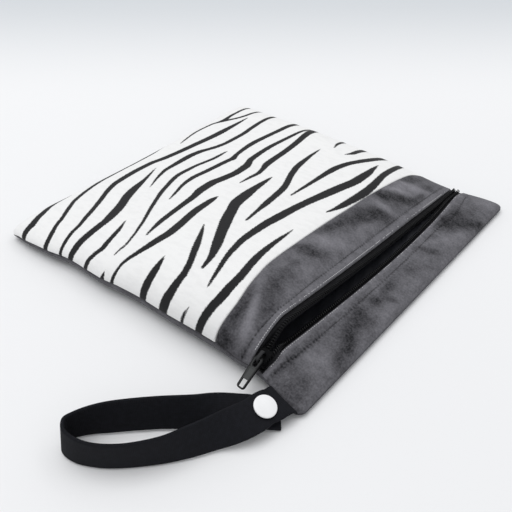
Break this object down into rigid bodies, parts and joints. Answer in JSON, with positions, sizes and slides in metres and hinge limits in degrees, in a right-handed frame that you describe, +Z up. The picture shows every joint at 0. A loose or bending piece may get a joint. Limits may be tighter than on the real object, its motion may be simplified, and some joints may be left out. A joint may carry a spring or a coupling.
{
  "type": "zipped wipes pouch with a snap strap",
  "caption": "Flat square plush pouch with a striped front, charcoal bands, an open zip mouth and a strap snapped into a loop, for carrying wipes in a bag or on a wrist.",
  "frame": {"origin": "centre of the pouch's plan, on the surface that it lies on", "axes": "+Z up, +X along the zip away from the strap, -Y towards the mouth and top edge"},
  "size_m": [0.2935, 0.2157, 0.0296],
  "materials": {
    "plush_striped": "short-pile plush, white with black zebra stripes",
    "plush_charcoal": "short-pile plush, charcoal, brushed marks in the nap",
    "lining_black": "smooth coated lining, black",
    "zip_tape": "woven tape, black",
    "zip_coil": "nylon coil, black, half matte",
    "zip_slider": "black enamel, worn a little at the edges",
    "zip_pull": "black enamel with a paler recess",
    "strap_black": "matte knitted strap, black",
    "snap_white": "moulded resin, white, half gloss"
  },
  "bodies": {
    "root": {"front_panel": "plush_striped", "front_band": "plush_charcoal", "top_band": "plush_charcoal", "back_panel": "plush_charcoal", "lining_front": "lining_black", "lining_back": "lining_black", "zip_tape_front": "zip_tape", "zip_tape_top": "zip_tape", "zip_coil_front": "zip_coil", "zip_coil_top": "zip_coil", "zip_slider": "zip_slider", "strap": "strap_black", "snap_cap": "snap_white", "snap_core": "snap_white", "snap_back": "snap_white"},
    "zip_pull": {"zip_pull": "zip_pull"}
  },
  "joints": [
    {"name": "pull_hinge", "type": "hinge", "parent": "root", "child": "zip_pull", "pos_m": [-0.10089, -0.0795, 0.01511], "axis": [0, 1, 0], "range_deg": [0, 180]}
  ]
}
